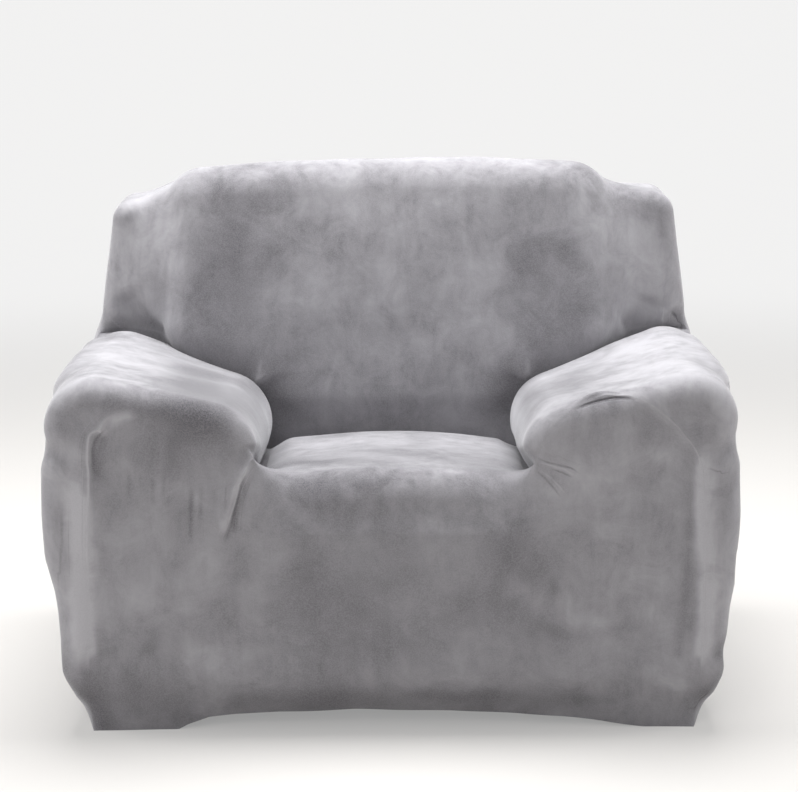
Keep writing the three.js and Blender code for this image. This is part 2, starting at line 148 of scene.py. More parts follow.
# A fold is a ridge (rise above nought) or a trough (below). Left and right are its reach to the left and the
# right of its line's run, as seen from outside. The line is a list of places, as x, y, z, or x, z on the
# front face, or it is the run of a front seam: the side, and the first and last knot from the hem on.
Fold = namedtuple("Fold", "rise left right line")
Crease = namedtuple("Crease", "rise reach line")
Stroke = namedtuple("Stroke", "tone left right line")
Seam = namedtuple("Seam", "side first last")

PLEAT_RIDGE = [(-226, -424, 460), (-237, -428, 445), (-252, 421), (-260, 394), (-269, 367)]

FOLDS = [
    # the pleat below the left tuck, with its hollow
    Fold(8, 8, 26, [*PLEAT_RIDGE, (-279, 332)]),
    Fold(-3.5, 8, 8, [(-238, 432), (-249, 400), (-257, 372), (-268, 336), (-276, 314)]),
    # the tucks beside the seat
    Fold(-8, 11, 11, [
        (-226, -424, 458), (-227, -380, 446), (-230, -330, 420), (-232, -260, 396), (-232, 60, 384),
    ]),
    Fold(-8, 11, 11, [
        (226, -424, 446), (227, -380, 436), (230, -330, 414), (232, -260, 394), (232, 60, 384),
    ]),
    # the left front seam, proud round its shoulder and full down the corner
    Fold(5, 18, 7, Seam(-1, 6, 14.4)),
    Fold(-3, 10, 10, [(-476, 425), (-479, 462), (-475, 488), (-458, 507)]),
    Fold(4, 20, 18, [(-508, -426, 440), (-510, -426, 296), (-512, -426, 120)]),
    Fold(-2.5, 9, 9, [(-553, -370, 440), (-546, -378, 360), (-538, -385, 290)]),
    Fold(1.4, 7, 7, [(-319, 424), (-322, 344)]),
    # the lip of the right arm over its front, and the seam that runs on from it
    Fold(1.6, 6, 18, Seam(1, 14.4, 20.5)),
    Fold(2.0, 7, 8, Seam(1, 9, 16)),
    Fold(4, 14, 12, [(501, 432), (505, 300), (504, 120)]),
    Fold(-2, 12, 12, [(478, 410), (479, 260), (472, 130)]),
    Fold(-3, 9, 9, [(549, -380, 250), (549, -380, 196)]),
    # creases in the wings beside the arm tops
    Fold(-10, 34, 24, [(-500, 236, 655), (-474, 232, 612), (-446, 224, 584), (-420, 204, 564)]),
    Fold(-8, 30, 30, [(470, 236, 640), (448, 228, 600), (424, 206, 570)]),
    Fold(4, 10, 10, [(503, 236, 614), (499, 234, 590), (502, 234, 570)]),
    Fold(-4, 10, 10, [(512, 236, 610), (530, 236, 593), (547, 234, 572)]),
]

# Creases are finer and sharper than folds, and alike on both sides of their line. Their rise is a bump and is
# also painted into the colour: a painted highlight on a ridge, painted shade in a hollow.
CREASES = [
    # the pleat's ridge and its shadow line
    Crease(1.5, 3.5, [*PLEAT_RIDGE, (-280, 328)]),
    Crease(-1.3, 3.5, [(-231, -428, 446), (-245, 420), (-253, 394), (-261, 367), (-272, 326)]),
    Crease(-0.6, 3.5, [(-270, 430), (-273, 366)]),
    # the left front seam
    Crease(1.6, 3.6, Seam(-1, 6, 14.4)),
    Crease(-1.0, 5.0, [(-485, 424), (-485, 480), (-478, 498), (-464, 512), (-452, 526)]),
    Crease(-0.8, 4.5, [(-533, -404, 400), (-535, -404, 320), (-536, -404, 230)]),
    # upright slacks on the left arm front
    Crease(-0.6, 6.5, [(-427, 450), (-428, 396)]),
    Crease(-0.5, 6.0, [(-388, 440), (-390, 380)]),
    Crease(-0.6, 6.5, [(-368, 446), (-375, 394)]),
    Crease(-0.9, 6.5, [(-324, 428), (-329, 380), (-330, 310)]),
    Crease(-0.6, 6.0, [(-310, 420), (-314, 352)]),
    # the lip of the right arm, with the shadow below it and the light on it
    Crease(-4.2, 5.0, [
        (286, 543), (298, 551), (310, 557), (331, 562), (351, 564), (366, 562), (380, 558), (394, 549),
    ]),
    Crease(1.4, 4.0, [(312, -428, 565), (338, -428, 571), (360, -428, 572), (386, -428, 567)]),
    Crease(0.9, 2.6, Seam(1, 9, 16)),
    Crease(-1.0, 3.0, [(492, 446), (506, -426, 441), (522, -410, 435), (545, -385, 429)]),
    # creases that fan out from the right tuck
    Crease(-1.2, 2.8, [(222, -424, 458), (240, -428, 452), (262, 448), (286, 442), (304, 430)]),
    Crease(1.0, 2.6, [(226, -428, 452), (250, 446), (276, 440), (300, 424)]),
    Crease(-1.4, 2.8, [(252, 440), (272, 435), (290, 426)]),
    Crease(0.8, 2.6, [(230, -428, 440), (252, 426), (268, 410), (280, 396)]),
    Crease(-1.0, 2.8, [(226, -428, 438), (244, 424), (262, 404), (272, 390)]),
    # in the wings beside the arm tops
    Crease(0.9, 4.0, [(-530, 236, 596), (-506, 234, 574)]),
    Crease(1.2, 4.0, [(503, 236, 614), (499, 234, 590), (502, 234, 570)]),
    Crease(-1.6, 5.0, [(512, 236, 608), (528, 236, 593), (545, 234, 572)]),
    # at the corners of the foot
    Crease(-1.0, 3.5, [(514, -404, 68), (506, -408, 44), (498, -410, 20)]),
]

# Strokes pale the pile (tone above nought) or darken it (below): some are brushing of the pile, and many are
# painted light and shade.
BRUSHING_AND_PAINTED_LIGHT = [
    # down the left front corner: a painted highlight down the corner and its side, and painted shade on the
    # facet at its foot and along the foot near the floor
    Stroke(1.7, 24, 13, [(-500, 146), (-502, 221), (-500, 346), (-501, 390)]),
    Stroke(0.5, 26, 9, [(-508, 400), (-506, 470)]),
    Stroke(0.35, 16, 16, [(-528, -424, 330), (-534, -424, 480)]),
    Stroke(0.45, 6, 6, [(-548, -385, 124), (-547, -385, 209), (-549, -385, 294)]),
    Stroke(-1.0, 24, 24, [(-542, -396, 116), (-528, -404, 84), (-510, -412, 50), (-490, -420, 13)]),
    Stroke(-0.39, 34, 34, [(-480, -425, 70), (-420, -425, 50), (-370, -425, 38)]),
    Stroke(-0.22, 30, 30, [(-434, -425, 100), (-350, -425, 76)]),
    Stroke(-0.39, 14, 14, [(-408, 146), (-392, 168)]),
    Stroke(-0.22, 8, 8, [(-423, 208), (-413, 197)]),
    # the left arm's front: painted shade below the rim of its top, and a painted highlight along its seam
    Stroke(-0.41, 17, 13, [(-540, -425, 520), (-522, 548), (-488, 556), (-423, 548), (-370, 545)]),
    Stroke(1.0, 10, 9, [(-466, 512), (-448, 528), (-428, 533)]),
    Stroke(-0.28, 12, 12, [(-468, 494), (-474, 466), (-474, 434)]),
    Stroke(0.3, 16, 16, [(-362, 419), (-322, 400)]),
    Stroke(0.3, 22, 22, [(-312, 316), (-290, 262)]),
    # the seat's front: patches of brushing, and painted shade along its foot near the floor
    Stroke(-0.17, 20, 20, [(-255, 302), (-284, 240), (-314, 169)]),
    Stroke(0.35, 34, 34, [(-206, 305), (-222, 220)]),
    Stroke(0.35, 44, 44, [(-303, 135), (-250, 112)]),
    Stroke(-0.11, 22, 22, [(-201, 390), (-104, 374), (17, 364)]),
    Stroke(-0.19, 26, 26, [(-145, 325), (-130, 275)]),
    Stroke(-0.14, 34, 34, [(-15, 325), (20, 280)]),
    Stroke(-0.4, 120, 120, [(-190, 230), (190, 230)]),
    Stroke(0.3, 9, 9, [(-87, 432), (-62, 400)]),
    Stroke(-0.83, 15, 15, [(-158, -262, 430), (-126, -268, 430), (-99, -260, 431)]),
    Stroke(0.3, 10, 10, [(218, -426, 425), (262, 400)]),
    Stroke(-0.17, 30, 30, [(168, 322), (206, 290)]),
    Stroke(-0.17, 16, 16, [(301, 342), (327, 318)]),
    Stroke(0.35, 20, 20, [(183, 249), (230, 220)]),
    Stroke(0.4, 24, 24, [(285, 211), (328, 180)]),
    Stroke(-0.25, 7, 7, [(255, 254), (260, 240)]),
    Stroke(-0.25, 12, 12, [(258, 172), (300, 160), (342, 169), (387, 181)]),
    Stroke(-0.22, 14, 14, [(392, 150), (406, 118)]),
    Stroke(-0.25, 14, 14, [(30, -425, 57), (97, -425, 54), (162, -425, 58)]),
    Stroke(-0.25, 10, 10, [(296, -425, 47), (352, -425, 42)]),
    # the right arm's front and corner: a painted highlight down the corner, and painted shade below the rim
    # of its top, on the facet at its foot and along the foot near the floor
    Stroke(-0.17, 15, 15, [(405, 568), (446, 552), (478, 520), (498, 486)]),
    Stroke(0.4, 12, 12, [(412, 464), (456, 452)]),
    Stroke(-0.19, 18, 18, [(290, 492), (334, 475)]),
    Stroke(-0.17, 16, 16, [(400, 405), (414, 356)]),
    Stroke(0.35, 16, 16, [(422, 204), (442, 170)]),
    Stroke(1.6, 9, 20, [(499, 134), (505, 255), (499, 338), (494, 438)]),
    Stroke(-0.3, 10, 8, [(464, 134), (477, 297), (480, 413)]),
    Stroke(0.4, 6, 6, [(548, -385, 168), (549, -385, 250)]),
    Stroke(-1.4, 26, 26, [(524, -400, 134), (538, -394, 116), (530, -398, 92), (514, -404, 62)]),
    Stroke(0.25, 22, 22, [(424, 100), (466, 70)]),
    Stroke(0.25, 90, 90, [(380, 430), (380, 300)]),
    Stroke(-0.55, 28, 28, [(-250, -420, 50), (40, -420, 54), (300, -420, 48)]),
    # the seat and the inner sides of the arms in painted shade, and the arm tops with painted highlights
    Stroke(-0.7, 76, 76, [(-170, -250, 440), (170, -250, 440)]),
    Stroke(0.4, 18, 18, [(-120, -340, 436), (-70, -350, 436)]),
    Stroke(0.35, 26, 26, [(20, -330, 438), (120, -320, 436)]),
    Stroke(-0.2, 26, 26, [(-190, -425, 425), (0, -428, 418), (190, -425, 425)]),
    Stroke(-1.0, 62, 62, [(-222, -340, 480), (-225, 60, 470)]),
    Stroke(-1.0, 50, 50, [(226, -340, 480), (228, 60, 470)]),
    Stroke(0.6, 56, 56, [(-470, -360, 590), (-470, 200, 580)]),
    Stroke(0.7, 70, 70, [(440, -370, 590), (440, 200, 580)]),
    # the wings: painted light where they stand back in the recesses, painted shade where they meet the arm
    # tops, and more painted shade along the arms' inner tops
    Stroke(0.8, 46, 46, [(450, 240, 740), (480, 240, 620)]),
    Stroke(0.7, 46, 46, [(-470, 240, 740), (-500, 240, 630)]),
    Stroke(-0.33, 16, 16, [(436, 220, 572), (480, 240, 586), (540, 240, 588)]),
    Stroke(-0.28, 16, 16, [(-436, 220, 572), (-480, 240, 586), (-540, 240, 588)]),
    Stroke(-1.7, 60, 60, [(-310, -410, 535), (-330, -60, 545)]),
    Stroke(-0.4, 34, 34, [(300, -380, 548), (300, -60, 540)]),
    # the back: painted shade over its middle, and pale shoulders and a pale band down its left side, painted
    # as light
    Stroke(-0.5, 120, 120, [(-300, 130, 690), (-300, 110, 620)]),
    Stroke(-0.35, 120, 120, [(290, 130, 690), (290, 110, 620)]),
    Stroke(0.7, 44, 44, [(-430, 150, 800), (-425, 160, 730)]),
    Stroke(0.45, 26, 26, [(-418, 150, 700), (-405, 140, 610)]),
    Stroke(0.6, 46, 46, [(360, 140, 830), (420, 160, 770)]),
]


# ---------------- the chair's form as distances
def read(rows, at):
    """The second column of a table, at a place in its first."""
    return np.interp(at, *np.array(rows, float).T)


def edge(a, b, radius):
    """The distance from a rounded edge of two faces, from the distances a and b from those faces."""
    flat = np.minimum(np.maximum(a, b) + radius, 0)
    return np.hypot(np.maximum(a + radius, 0), np.maximum(b + radius, 0)) + flat - radius


def between(value, low, high):
    """The distance from a slab."""
    return np.maximum(low - value, value - high)


def rolled_arm(x, y, z):
    depth = y - FRONT
    swell = ARM.swell * np.clip(depth / (ARM.back - FRONT) / ARM.swells_by, 0, 1)
    outer_x = ARM_OUTER.x + swell
    outer_z = ARM_OUTER.z - ARM_OUTER.fall * depth
    dx = ARM_INNER.x - outer_x
    dz = ARM_INNER.z - ARM_INNER.fall * depth - outer_z
    length = np.hypot(dx, dz)
    along = ((x - outer_x) * dx + (z - outer_z) * dz) / length
    aside = np.abs((x - outer_x) * dz - (z - outer_z) * dx) / length
    slope = (ARM_OUTER.radius - ARM_INNER.radius) / length
    rise = np.sqrt(1 - slope * slope)
    reach = along * rise - aside * slope
    outer_end = np.hypot(along, aside) - ARM_OUTER.radius
    inner_end = np.hypot(along - length, aside) - ARM_INNER.radius
    ends = np.where(reach < 0, outer_end, inner_end)
    middle = (reach >= 0) & (reach <= rise * length)
    section = np.where(middle, aside * rise + along * slope - ARM_OUTER.radius, ends)
    return edge(section, between(y, FRONT, ARM.back), ARM.nose)


def arm_flank(x, y, z):
    section = edge(x - FLANK.half, z - FLANK.top + ARM_OUTER.fall * (y - FRONT), FLANK.corner)
    block = edge(section, between(y, FLANK.front, ARM.back), FLANK.over)
    return np.maximum.reduce([block, FLANK.inner - x, FLANK.bottom - z])


def seat_block(x, y, z):
    top = SEAT.top + SEAT.crown * np.maximum(0, 1 - (x / SEAT.half) ** 2) - SEAT.fall * (y - FRONT)
    profile = edge(between(y, FRONT + SEAT.set_back, SEAT.back), between(z, SEAT.bottom, top), SEAT.nose)
    return edge(profile, x - SEAT.half, SEAT.corner)


def base_block(x, y, z):
    drawn_in = BASE_FRONT.by * np.clip((BASE_FRONT.turns - z) / BASE_FRONT.over, 0, BASE_FRONT.most) ** 2
    plan = edge(x - read(BASE_SIDE, z), np.abs(y) - REAR + drawn_in, BASE.corner)
    block = edge(plan, z - BASE.top, BASE.over)
    return np.maximum(block, np.minimum(BASE.inner - x, z - SEAT.bottom))


def back_frame(x, y, z):
    half = FRAME.half - FRAME.narrowing * np.maximum(z - FRAME.waist, 0)
    plan = edge(np.abs(x) - half, between(y, FRAME.front, REAR), FRAME.corner)
    return edge(plan, between(z, FRAME.bottom, read(FRAME_TOP, x)), FRAME.corner)


def back_cushion(x, y, z):
    c, s = math.cos(CUSHION.recline), math.sin(CUSHION.recline)
    half = CUSHION.thick / 2
    dy, dz = y - CUSHION.front - half, z - CUSHION.pivot
    along, up = dy * c - dz * s, dy * s + dz * c
    out = np.abs(x - CUSHION.middle)
    aside = (out / CUSHION.half) ** 2
    above = ((up - CUSHION.bulge_at) / CUSHION.bulge_over) ** 2
    bulge = CUSHION.bulge * np.maximum(0, 1 - aside) * np.maximum(0, 1 - above)
    top = CUSHION.reach - CUSHION.crown * aside - CUSHION.tilt * np.maximum(CUSHION.level - x, 0)
    plan = edge(out - CUSHION.half, between(along, -half - bulge, half), CUSHION.corner)
    return edge(plan, between(up, CUSHION.bottom - CUSHION.pivot, top), CUSHION.corner)


def chair_form(points):
    """The distance of each place from the chair, below nought inside it. Both arms and sides are alike."""
    x, y, z = points.T
    x = x - read(LEAN, z)
    alike = [block(np.abs(x), y, z) for block in (base_block, seat_block, rolled_arm, arm_flank)]
    return np.minimum.reduce(alike + [back_frame(x, y, z), back_cushion(x, y, z)])


# ---------------- the net of cloth
# Cells of the coarsest net: across an arm and the seat (I), from the front to the back's foot and through the
# back (J), and up to the seat, from there to the arm's top and on to the back's (K).
COUNT = Sizes(arm=8, seat=10, depth=13, back=5, low=8, roll=4, high=7)
I = (COUNT.arm, COUNT.arm + COUNT.seat, 2 * COUNT.arm + COUNT.seat)
J = (COUNT.depth, COUNT.depth + COUNT.back)
K = (COUNT.low, COUNT.low + COUNT.roll, COUNT.low + COUNT.roll + COUNT.high)
PANELS = ("seat_front", "arm_left", "arm_right", "inside_back", "outside_back")
START = Sizes(back=180, seat=410, arm=580)
MOST_KNOTS = 4096


def through(rows, share):
    """The value at a share of the way along a table, smoothly through its rows."""
    rows = np.array(rows, float)
    lengths = np.concatenate([[0], np.cumsum(np.linalg.norm(np.diff(rows, axis=0), axis=1))])
    target = np.asarray(share) * lengths[-1]
    n = np.clip(np.searchsorted(lengths, target), 1, len(rows) - 1)
    t = ((target - lengths[n - 1]) / (lengths[n] - lengths[n - 1]))[:, None]
    a, b = rows[n - 1], rows[n]
    before, after = rows[np.maximum(n - 2, 0)], rows[np.minimum(n + 1, len(rows) - 1)]
    return a + t * (b - a) + 0.5 * t * (1 - t) * ((1 - t) * (2 * a - before - b) + t * (2 * b - a - after))


def key_of(knots):
    """One whole number for each knot, in the order of its three."""
    return (knots[..., 0] * MOST_KNOTS + knots[..., 1]) * MOST_KNOTS + knots[..., 2]


def net(fine):
    """Every outer face of the chair's blocks as a quad of the net, with the panel that it belongs to."""
    size = np.array([I[2], J[1], K[2]]) * fine
    i, j, k = np.meshgrid(*(np.arange(n) for n in size), indexing="ij")
    over_arm = (k < K[1] * fine) & ((i < I[0] * fine) | (i >= I[1] * fine))
    inside = (k < K[0] * fine) | (j >= J[0] * fine) | over_arm
    padded = np.pad(inside, 1)
    sides = [
        ((-1, 0, 0), [(0, 0, 0), (0, 0, 1), (0, 1, 1), (0, 1, 0)]),
        ((1, 0, 0), [(1, 0, 0), (1, 1, 0), (1, 1, 1), (1, 0, 1)]),
        ((0, -1, 0), [(0, 0, 0), (1, 0, 0), (1, 0, 1), (0, 0, 1)]),
        ((0, 1, 0), [(0, 1, 0), (0, 1, 1), (1, 1, 1), (1, 1, 0)]),
        ((0, 0, 1), [(0, 0, 1), (1, 0, 1), (1, 1, 1), (0, 1, 1)]),
    ]
    corners, panels = [], []
    for (a, b, c), face in sides:
        beside = padded[1 + a:1 + a + size[0], 1 + b:1 + b + size[1], 1 + c:1 + c + size[2]]
        cell = np.argwhere(inside & ~beside)
        corners.append(np.stack([cell + corner for corner in face], 1))
        ci, cj, ck = cell.T
        arm = np.where(ci < size[0] / 2, 1, 2)
        if b > 0:
            panel = np.full(len(cell), 4)
        elif b < 0:
            panel = np.where(cj == 0, 0, 3)
        elif a:
            panel = np.where(ck < K[1] * fine, arm, 3)
        else:
            panel = np.where(ck + 1 == K[2] * fine, 3, np.where(ck + 1 == K[1] * fine, arm, 0))
        panels.append(panel)
    corners = np.concatenate(corners)
    keys, index = np.unique(key_of(corners).reshape(-1), return_inverse=True)
    rows = keys // MOST_KNOTS
    knots = np.stack([rows // MOST_KNOTS, rows % MOST_KNOTS, keys % MOST_KNOTS], 1)
    return knots, keys, index.reshape(-1, 4), np.concatenate(panels)


def hem(i, j, side):
    """Where the hem lies: on the floor at the feet and arched between them."""
    x = np.interp(i, [0, *I], [HEM.left, *HEM.tucks, HEM.right])
    y = np.interp(j, [0, J[1]], [-HEM.depth, HEM.depth])
    bow = HEM.bow * (1 - (x / HEM.right) ** 2)
    spread = HEM.spread * (1 - (y / HEM.depth) ** 4)
    at_front, at_rear = j == 0, j == J[1]
    beside = np.where(at_rear, read(HEM_SIDE, HEM_REAR_SHARE * x), read(HEM_SIDE, y))
    return np.stack([
        np.where(at_front | at_rear, x, x + side * spread),
        np.where(at_front, y + bow, np.where(at_rear, y - bow, y)),
        np.where(at_front, read(HEM_FRONT, x), beside),
    ], 1)


def held(knots, fine):
    """Where each knot is held, with nan for an axis that is free."""
    i, j, k = (knots / fine).T
    hold = np.full((len(knots), 3), np.nan)
    side = np.where(i < I[2] / 2, -1, 1)
    a = np.minimum(i, I[2] - i)

    def put(where, rows, share, axes=(0, 1, 2)):
        """Holds knots of each side at their shares of the way along a line."""
        for which in (-1, 1):
            here = np.flatnonzero(where & (side == which))
            values = through(rows[which] if isinstance(rows, dict) else rows, share[here])
            values[:, 0] *= which
            hold[here] = np.nan
            hold[np.ix_(here, axes)] = values

    # behind the seat, and at the rear edges
    here = (j == J[0]) & (k == K[0]) & (i > I[0]) & (i < I[1])
    x = np.interp(i[here], [I[0], I[1]], [-BACK_TUCK.half, BACK_TUCK.half])
    hold[here] = np.stack([x, np.full(here.sum(), BACK_TUCK.y), np.full(here.sum(), BACK_TUCK.z)], 1)
    hold[(a == 0) & (k == K[1]) & (j > J[0]), 2] = ARM_TUCK_TOP[-1][2]
    here = (j == J[1]) & ((a == 0) | (k == K[2]))
    hold[here] = np.nan
    hold[here, 1] = REAR - REAR_EDGE
    # where the arm meets the back, beside the seat, and along the front seam
    put((j == J[0]) & (k == K[1]) & (a <= I[0]), ARM_TUCK_TOP, (I[0] - a) / I[0])
    put((j == J[0]) & (a == I[0]) & (k < K[1]) & (k >= K[0]), ARM_TUCK_INNER, (k - K[0]) / COUNT.roll)
    pleat = (j == 0) & (i == I[0]) & (k >= K[0] - PLEAT_CELLS) & (k <= K[0])
    hold[np.ix_(np.flatnonzero(pleat), (0, 2))] = through(PLEAT, (K[0] - k[pleat]) / PLEAT_CELLS)
    put((j == 0) & (a == I[0]) & (k > K[0]), SEAM_INNER, (K[1] - k) / COUNT.roll, (0, 2))
    put((a == I[0]) & (k == K[0]) & (j <= J[0]), SEAT_TUCK, j / J[0])
    put((j == 0) & (k == K[1]), SEAM_TOP, a / I[0], (0, 2))
    put((j == 0) & (a == 0), SEAM_SIDE, k / K[1], (0, 2))
    hold[k == 0] = hem(i, j, side)[k == 0]
    return hold


def yielding(knots, fine):
    """How far the chair's padding gives way: it is pressed in beside the tucks."""
    i, j, k = (knots / fine).T
    a = np.minimum(i, I[2] - i)
    tucks = [
        (j <= J[0], np.hypot(a - I[0], k - K[0])),
        (a >= I[0], np.hypot(j - J[0], k - K[0])),
        ((k >= K[0]) & (k <= K[1]), np.hypot(a - I[0], j - J[0])),
        (a <= I[0], np.hypot(j - J[0], k - K[1])),
    ]
    near = np.minimum.reduce([np.where(beside, cells, np.inf) for beside, cells in tucks])
    return PADDING.gives * np.maximum(0, 1 - near / PADDING.reach) ** 2


def start(knots):
    """The coarsest net as blocks, before it is drawn tight."""
    i, j, k = knots.T
    outside = ARM_OUTER.x + ARM_OUTER.radius
    return np.stack([
        np.interp(i, [0, I[0], I[1], I[2]], [-outside, -BACK_TUCK.half, BACK_TUCK.half, outside]),
        np.interp(j, [0, J[0], J[1]], [FRONT, START.back, REAR]),
        np.interp(k, [0, K[0], K[1], K[2]], [0, START.seat, START.arm, CUSHION.top]),
    ], 1)


def neighbours(quads, count):
    """Each knot's neighbours along the net, padded with the knot itself, and how many there are."""
    edges = np.concatenate([quads[:, [n, (n + 1) % 4]] for n in range(4)])
    edges = np.unique(np.sort(edges, 1), axis=0)
    both = np.concatenate([edges, edges[:, ::-1]])
    both = both[np.argsort(both[:, 0], kind="stable")]
    degree = np.bincount(both[:, 0], minlength=count)
    first = np.concatenate([[0], np.cumsum(degree)[:-1]])
    table = np.repeat(np.arange(count)[:, None], degree.max(), 1)
    table[both[:, 0], np.arange(len(both)) - first[both[:, 0]]] = both[:, 1]
    return table, degree


# How far a knot moves towards its neighbours' mean in a round, the step that the form's slope is taken over,
# and the least square of a slope that a knot is put back along.
DRAW = Sizes(pull=0.6, step=0.5, least=0.04)


def draw_tight(points, hold, quads, gives, rounds):
    """The free cloth draws itself tight, and what goes into the chair is put back onto it."""
    table, degree = neighbours(quads, len(points))
    spare = (table.shape[1] - degree)[:, None]
    free = np.isnan(hold)
    points = np.where(free, points, hold)
    for _ in range(rounds):
        mean = (points[table].sum(1) - spare * points) / degree[:, None]
        now = np.where(free, points + DRAW.pull * (mean - points), points)
        depth = chair_form(now) + gives
        bad = np.flatnonzero(depth < 0)
        at = now[bad]
        slope = np.stack([chair_form(at + step) - chair_form(at - step) for step in np.eye(3) * DRAW.step], 1)
        slope = np.where(free[bad], slope, 0)
        size = (slope ** 2).sum(1)
        ok = size > DRAW.least
        now[bad[ok]] -= (depth[bad][ok] / size[ok])[:, None] * slope[ok]
        points = now
    return points


def refine(old_keys, points, fine):
    """The net with twice as many cells each way, its new knots halfway between the old ones."""
    knots, keys, quads, panels = net(fine)
    odd = knots % 2
    total, hits = np.zeros((len(knots), 3)), np.zeros(len(knots))
    for sign in np.array(np.meshgrid(*[[-1, 1]] * 3)).T.reshape(-1, 3):
        key = key_of((knots + odd * sign) // 2)
        index = np.clip(np.searchsorted(old_keys, key), 0, len(old_keys) - 1)
        ok = old_keys[index] == key
        total[ok] += points[index[ok]]
        hits += ok
    return knots, keys, quads, panels, total / hits[:, None]


def fit(rounds):
    """The net fitted to the chair, from its coarsest to its finest, with rounds of drawing tight at each."""
    knots, keys, quads, panels = net(1)
    points = draw_tight(start(knots), held(knots, 1), quads, yielding(knots, 1), rounds[0])
    for level, more in enumerate(rounds[1:], 1):
        knots, keys, quads, panels, points = refine(keys, points, 2 ** level)
        points = draw_tight(points, held(knots, 2 ** level), quads, yielding(knots, 2 ** level), more)
    return knots / 2 ** (len(rounds) - 1), quads, panels, points


def vertex_normals(points, quads):
    a, b, c, d = (points[quads[:, n]] for n in range(4))
    across = np.cross(c - a, d - b)
    normals = np.zeros_like(points)
    for n in range(4):
        for axis in range(3):
            normals[:, axis] += np.bincount(quads[:, n], across[:, axis], len(points))
    length = np.linalg.norm(normals, axis=1)[:, None]
    return normals / np.where(length > 0, length, 1)


# ---------------- folds
def reach_of(points, normals, line):
    """How far each point is from a line, above nought to the right of its run, and its run's share so far."""
    line = np.array(line, float)
    best = np.full(len(points), np.inf)
    side, run = np.ones(len(points)), np.zeros(len(points))
    length = 0.0
    for a, b in zip(line[:-1], line[1:]):
        span = np.linalg.norm(b - a)
        t = np.clip((points - a) @ (b - a) / span ** 2, 0, 1)
        off = points - a - t[:, None] * (b - a)
        far = np.linalg.norm(off, axis=1)
        nearer = far < best
        best = np.where(nearer, far, best)
        side = np.where(nearer, np.where((off * np.cross(b - a, normals)).sum(1) > 0, 1, -1), side)
        run = np.where(nearer, length + t * span, run)
        length += span
    return best * side, run / length


def fade_in(run, fade):
    """From 0 at both ends of a line to 1 at a share of it further in."""
    end = np.clip(np.minimum(run, 1 - run) / fade, 0, 1)
    return end * end * (3 - 2 * end)


def fold_share(points, normals, left, right, line, fade=None):
    """From 1 on the line to 0 beyond its reach, with its ends faded out where a fade is given."""
    off, run = reach_of(points, normals, line)
    share = np.exp(-((off / np.where(off > 0, right, left)) ** 2))
    return share * fade_in(run, fade) if fade else share


def laid(line, points, normals):
    """A list of places laid onto the fitted cloth."""
    places = np.array([place if len(place) == 3 else (place[0], FRONT, place[1]) for place in line], float)
    near = [np.argmin(((points - place) ** 2).sum(1)) for place in places]
    gap = ((places - points[near]) * normals[near]).sum(1)
    return places - gap[:, None] * normals[near]


def seam_line(seam, knots, points):
    """The run of a front seam between two of its knots, counted from the hem."""
    i, j, k = knots.T
    a = np.minimum(i, I[2] - i)
    inner = np.where(a == I[0], K[1] + I[0] + K[1] - k, np.inf)
    run = np.where(a == 0, k, np.where(k == K[1], K[1] + a, inner))
    front = (j == 0) & (k <= K[1]) & (np.sign(i - I[2] / 2) == seam.side)
    here = front & (run >= seam.first) & (run <= seam.last)
    return points[here][np.argsort(run[here])]


def line_of(line, knots, points, normals):
    return seam_line(line, knots, points) if isinstance(line, Seam) else laid(line, points, normals)


SLACK = Sizes(height=1.3, waves=16, shortest=90, longest=260, seed=7)


def slack(points):
    """A slow rise and fall of the cloth, from waves that run in many directions."""
    luck = np.random.default_rng(SLACK.seed)
    total = np.zeros(len(points))
    for _ in range(SLACK.waves):
        way = luck.normal(size=3)
        way *= 2 * np.pi / luck.uniform(SLACK.shortest, SLACK.longest) / np.linalg.norm(way)
        total += np.sin(points @ way + luck.uniform(0, 2 * np.pi))
    return SLACK.height * (total / math.sqrt(SLACK.waves))


# The share of a fold's run that fades out at each end, the width of its crest in reaches, how much paler the
# crest is painted for each millimetre of rise (a painted highlight on a ridge, painted shade along a trough),
# and the least height over the floor.
FOLD = Sizes(fade=0.2, crest=0.75, tone=0.06, floor=0.2)


def folded(knots, points, quads):
    """The fitted cloth with its folds raised and sunk, and how pale (1) or dark (-1) its pile is left:
    brushing, and painted highlights and painted shade from the folds and strokes.
    """
    normals = vertex_normals(points, quads)
    rise, tone = slack(points), np.zeros(len(points))
    for fold in FOLDS:
        line = line_of(fold.line, knots, points, normals)
        rise += fold.rise * fold_share(points, normals, fold.left, fold.right, line, FOLD.fade)
        crest = FOLD.crest * min(fold.left, fold.right)
        # a painted highlight along a ridge's crest, painted shade along a trough's floor
        tone += FOLD.tone * fold.rise * fold_share(points, normals, crest, crest, line, FOLD.fade)
    for stroke in BRUSHING_AND_PAINTED_LIGHT:
        line = line_of(stroke.line, knots, points, normals)
        tone += stroke.tone * fold_share(points, normals, stroke.left, stroke.right, line)
    moved = points + rise[:, None] * normals
    moved[:, 2] = np.maximum(moved[:, 2], FOLD.floor)
    return moved, tone


# The share of a crease's run that fades out at each end, how far creases of a layer keep clear of one
# another, and the distance that stands for none near.
CREASE = Sizes(fade=0.3, clear=8, far=9.0)
Layer = namedtuple("Layer", "off rise taken")


